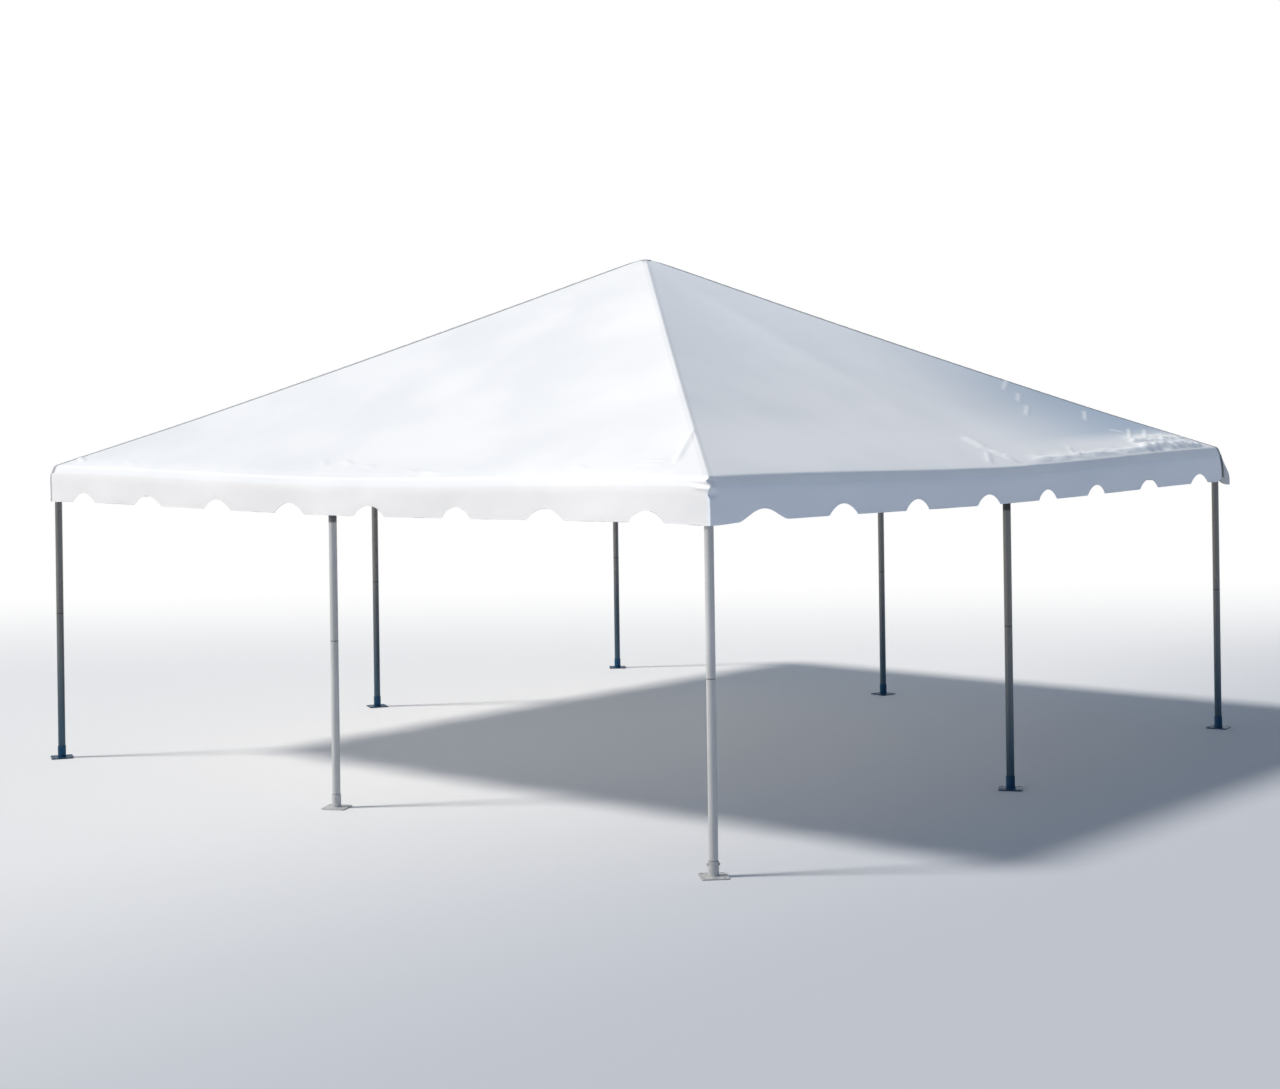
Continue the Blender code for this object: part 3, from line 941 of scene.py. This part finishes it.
bpy.ops.object.select_all(action="DESELECT")
bpy.ops.mesh.primitive_grid_add(x_subdivisions=GRID_CELLS, y_subdivisions=GRID_CELLS, size=2)
canopy = bpy.context.object
for vertex in canopy.data.vertices:
    vertex.co.x = plan_distance(vertex.co.x)
    vertex.co.y = plan_distance(vertex.co.y)
bpy.ops.object.mode_set(mode="EDIT")
bpy.ops.mesh.select_mode(type="FACE")
bpy.ops.mesh.select_all(action="DESELECT")
bpy.ops.object.mode_set(mode="OBJECT")
for face in canopy.data.polygons:
    side, along, out = side_of(face.center)
    offsets = [crease_share(crease, along, out)[1] for crease in CREASES[side]]
    deep = [gather for gather in GATHERS[side] if gather[3] > DEEP_FOLD]
    gathered = any(gather_share(gather, along, out) > 0.02 for gather in deep)
    face.select = out < ROLL_START and (min(offsets) < FINE_BESIDE_CREASE or gathered)
bpy.ops.object.mode_set(mode="EDIT")
bpy.ops.mesh.subdivide(number_cuts=2)
for direction in ((1, 1, 0), (1, -1, 0)):
    for offset in WELT_LINES:
        bpy.ops.mesh.select_all(action="SELECT")
        middle = Vector(direction).normalized() * offset
        bpy.ops.mesh.bisect(plane_co=middle, plane_no=direction)
bpy.ops.object.mode_set(mode="OBJECT")
painted_sheen_layer = canopy.data.attributes.new("painted_sheen", "FLOAT", "POINT")
for vertex in canopy.data.vertices:
    side, along, out = side_of(vertex.co)
    if out < 1e-6:
        vertex.co.z = sheet_height(0, 0)
        continue
    welt = 1 - soft_step(0.003, 0.012, (out - abs(along)) / math.sqrt(2))
    across = along / out
    if out <= ROLL_START:
        vertex.co.z = sheet_height(across, out) + SEAM_RISE * welt * soft_step(0.03, 0.12, out)
        lift, painted_sheen_layer.data[vertex.index].value = crease_lift(side, along, out)
        vertex.co.z += lift
        continue
    further, drop = rolled(out - ROLL_START)
    further += bulge(along) * soft_step(0, 0.015, out - ROLL_START)
    vertex.co.x *= (ROLL_START + further) / out
    vertex.co.y *= (ROLL_START + further) / out
    vertex.co.z = sheet_height(across, ROLL_START) + SEAM_RISE * welt - drop
    vertex.co.x += corner_pull(vertex.co)
    if side == "front":
        vertex.co.y -= corner_fold(vertex.co.x, vertex.co.z)
apply_modifier(canopy, "SOLIDIFY", thickness=SHEET_THICKNESS, offset=-1.0)
finished(canopy, "canopy_sheet", CANOPY_VINYL, smooth_deg=60)
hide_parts("roof_panel_front", "roof_panel_right", "roof_panel_back", "roof_panel_left")


# Valance: a strip of the same fabric welded on just under the roll of the eave, one on each
# side, with eight arches cut into its hem. The hem is folded back and welded. At the far right
# corner the two strips have come apart, and the end of one swings out.
VALANCE_DEPTH = 0.245
VALANCE_START = 0.067
VALANCE_OVER = 0.0014
VALANCE_COLUMNS = 420
VALANCE_ROWS = 22
HEM_DIP = 0.026
CORNER_DROP = 0.006
PARTED_LIFT = 0.034
PARTED_REACH = 0.034
FLAP_DROP = 0.024
FLAP_SWING = 0.084
FLAP_TUCK = 0.020
STRIP_WAVE = 0.012
STRIP_RIPPLE = 0.004
ARCH_RISE = 0.066
# The middle of each arch along its side, and its width at the hem, in centimetres.
ARCHES_CM = {
    "front": (
        (-263, 27), (-188, 30), (-111, 28), (-38, 28), (39, 27), (114, 24), (186, 28), (261, 25)),
    "right": (
        (-259, 44), (-184, 28), (-108, 24), (-28, 26), (46, 22), (110, 24), (187, 26), (267, 27)),
    "back": (
        (-283, 31), (-188, 31), (-111, 31), (-38, 31), (40, 31), (114, 31), (186, 31), (260, 31)),
    "left": (
        (-259, 31), (-184, 31), (-108, 31), (-28, 31), (46, 31), (110, 31), (187, 31), (277, 31)),
}


def hem_height(side, along):
    """Height of the hem. Its narrow arches are round, and its wide ones run to a point."""
    across = along / CANOPY_HALF
    height = CORNER_HEIGHT - VALANCE_DEPTH - HEM_DIP * math.cos(math.pi * across / 2) ** 2
    for centre, width in ARCHES_CM[side]:
        offset = min(abs(along - centre / 100) / (width / 200), 1.0)
        power = 0.68 + 0.05 * max(width - 26, 0)
        height += ARCH_RISE * max(math.cos(math.pi * offset / 2), 0.0) ** power
    if side == "right":
        height += PARTED_LIFT * soft_step(2.92, 3.05, along)
    if side == "back":
        height -= FLAP_DROP * soft_step(2.94, 3.03, -along)
    return height - CORNER_DROP * soft_step(2.78, 3.0, abs(along))


bottom_drop = rolled(ROLL_END)[1]
for side in SIDE_TURN_DEG:
    bpy.ops.object.select_all(action="DESELECT")
    bpy.ops.mesh.primitive_grid_add(
        x_subdivisions=VALANCE_COLUMNS, y_subdivisions=VALANCE_ROWS, size=2)
    strip = bpy.context.object
    map_places = []
    for vertex in strip.data.vertices:
        across = vertex.co.x
        share = (1 - vertex.co.y) / 2
        edge = sheet_height(across, ROLL_START)
        hem = hem_height(side, across * CANOPY_HALF)
        whole = ROLL_END + (edge - bottom_drop - hem)
        distance = VALANCE_START + (whole - VALANCE_START) * share
        further, drop = rolled(distance)
        out = ROLL_START + further + VALANCE_OVER + bulge(across * CANOPY_HALF) * (1 - 0.7 * share)
        loose = soft_step(0.1, 1.0, share)
        split = soft_step(0.0, 0.8, share)
        wave = noise.noise(Vector((across * 4.5, SIDE_TURN_DEG[side], 0)))
        ripple = noise.noise(Vector((across * 14, SIDE_TURN_DEG[side] + 3, share)))
        out += (STRIP_WAVE * wave + STRIP_RIPPLE * ripple) * loose
        along = across * (ROLL_START + further)
        flat_along = along
        if side == "back":
            out += FLAP_SWING * split * (1 - soft_step(-3.05, -2.72, along))
            along -= FLAP_TUCK * split * (1 - soft_step(-3.05, -2.80, along))
        if side == "right":
            along += PARTED_REACH * split * soft_step(2.80, 3.05, along)
        if side == "front":
            out += corner_fold(along, edge - drop)
        vertex.co = side_point(side, along, out, edge - drop)
        vertex.co.x += corner_pull(vertex.co)
        map_places.append((flat_along, whole - distance))
    layer = strip.data.uv_layers["UVMap"]
    for loop in strip.data.loops:
        layer.data[loop.index].uv = map_places[loop.vertex_index]
    bpy.ops.object.mode_set(mode="EDIT")
    bpy.ops.mesh.select_all(action="SELECT")
    bpy.ops.mesh.normals_make_consistent(inside=False)
    bpy.ops.object.mode_set(mode="OBJECT")
    apply_modifier(strip, "SOLIDIFY", thickness=SHEET_THICKNESS, offset=-1.0)
    finished(strip, f"valance_strip_{side}", VALANCE_VINYL, smooth_deg=40)
    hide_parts(f"valance_{side}")


# Stage: a plain pale floor that fades into a plain pale sky, and soft studio light.
# The key light comes from the left of the picture, and the sky is dimmer on the right.
KEY_AZIMUTH_DEG = -43
KEY_HEIGHT_DEG = 50
KEY_STRENGTH = 2.9
FLOOR_RADIUS = 400.0


def pale_floor():
    """A matt floor, greyer to the right, that turns into an even glow far off and behind."""
    material, shader, place = new_finish("pale_floor")
    side = place.axis("X").ramp(-1.0, 5.0)
    feed(shader, {"Base Color": side.tint((0.80, 0.80, 0.80, 1), (0.54, 0.56, 0.60, 1))})
    shader.inputs["Roughness"].default_value = 0.9
    shader.inputs["Specular IOR Level"].default_value = 0.1
    distance = place.node("VectorMath", {"operation": "LENGTH"}, {0: place}, output="Value")
    glow = place.node("Emission", inputs={"Color": (1, 1, 1, 1), "Strength": 1.0})
    behind = place.node(
        "VectorMath", {"operation": "DOT_PRODUCT"}, {0: place, 1: (-0.66, 0.75, 0)}, "Value")
    far = place.math("MAXIMUM", distance.ramp(10.0, 45.0), behind.ramp(3.5, 13.0))
    mixed = place.node("MixShader", inputs={"Fac": far, 2: glow})
    place.tree.links.new(shader.outputs["BSDF"], mixed.socket.node.inputs[1])
    place.tree.links.new(mixed.socket, place.tree.nodes["Material Output"].inputs["Surface"])
    return material


bpy.ops.object.select_all(action="DESELECT")
bpy.ops.mesh.primitive_circle_add(
    vertices=96, radius=FLOOR_RADIUS, fill_type="NGON", location=(0, 0, -0.001))
settle()
floor = bpy.context.object
floor.name = "floor"
floor.data.materials.append(pale_floor())

world = bpy.data.worlds.new("pale_sky")
world.use_nodes = True
bpy.context.scene.world = world
sky = Value(world.node_tree).node("TexCoord", output="Generated")
shade = sky.axis("X").ramp(-0.35, 0.4)
high = sky.axis("Z").ramp(0.20, 0.50)
pale = shade.tint((1.0, 1.0, 1.0, 1), (0.06, 0.17, 0.34, 1))
pale = high.tint(pale, (0.22, 0.27, 0.34, 1))
background = world.node_tree.nodes["Background"]
world.node_tree.links.new(pale.socket, background.inputs["Color"])
background.inputs["Strength"].default_value = 1.0

key = bpy.data.lights.new("key", "SUN")
key.energy = KEY_STRENGTH
key.color = (1.0, 0.955, 0.90)
key.angle = math.radians(10)
key_lamp = bpy.data.objects.new("key", key)
bpy.context.scene.collection.objects.link(key_lamp)
key_lamp.matrix_world = (
    Matrix.Rotation(math.radians(KEY_AZIMUTH_DEG), 4, "Z")
    @ Matrix.Rotation(math.radians(90 - KEY_HEIGHT_DEG), 4, "X")
)
bpy.context.scene.view_settings.view_transform = "Standard"
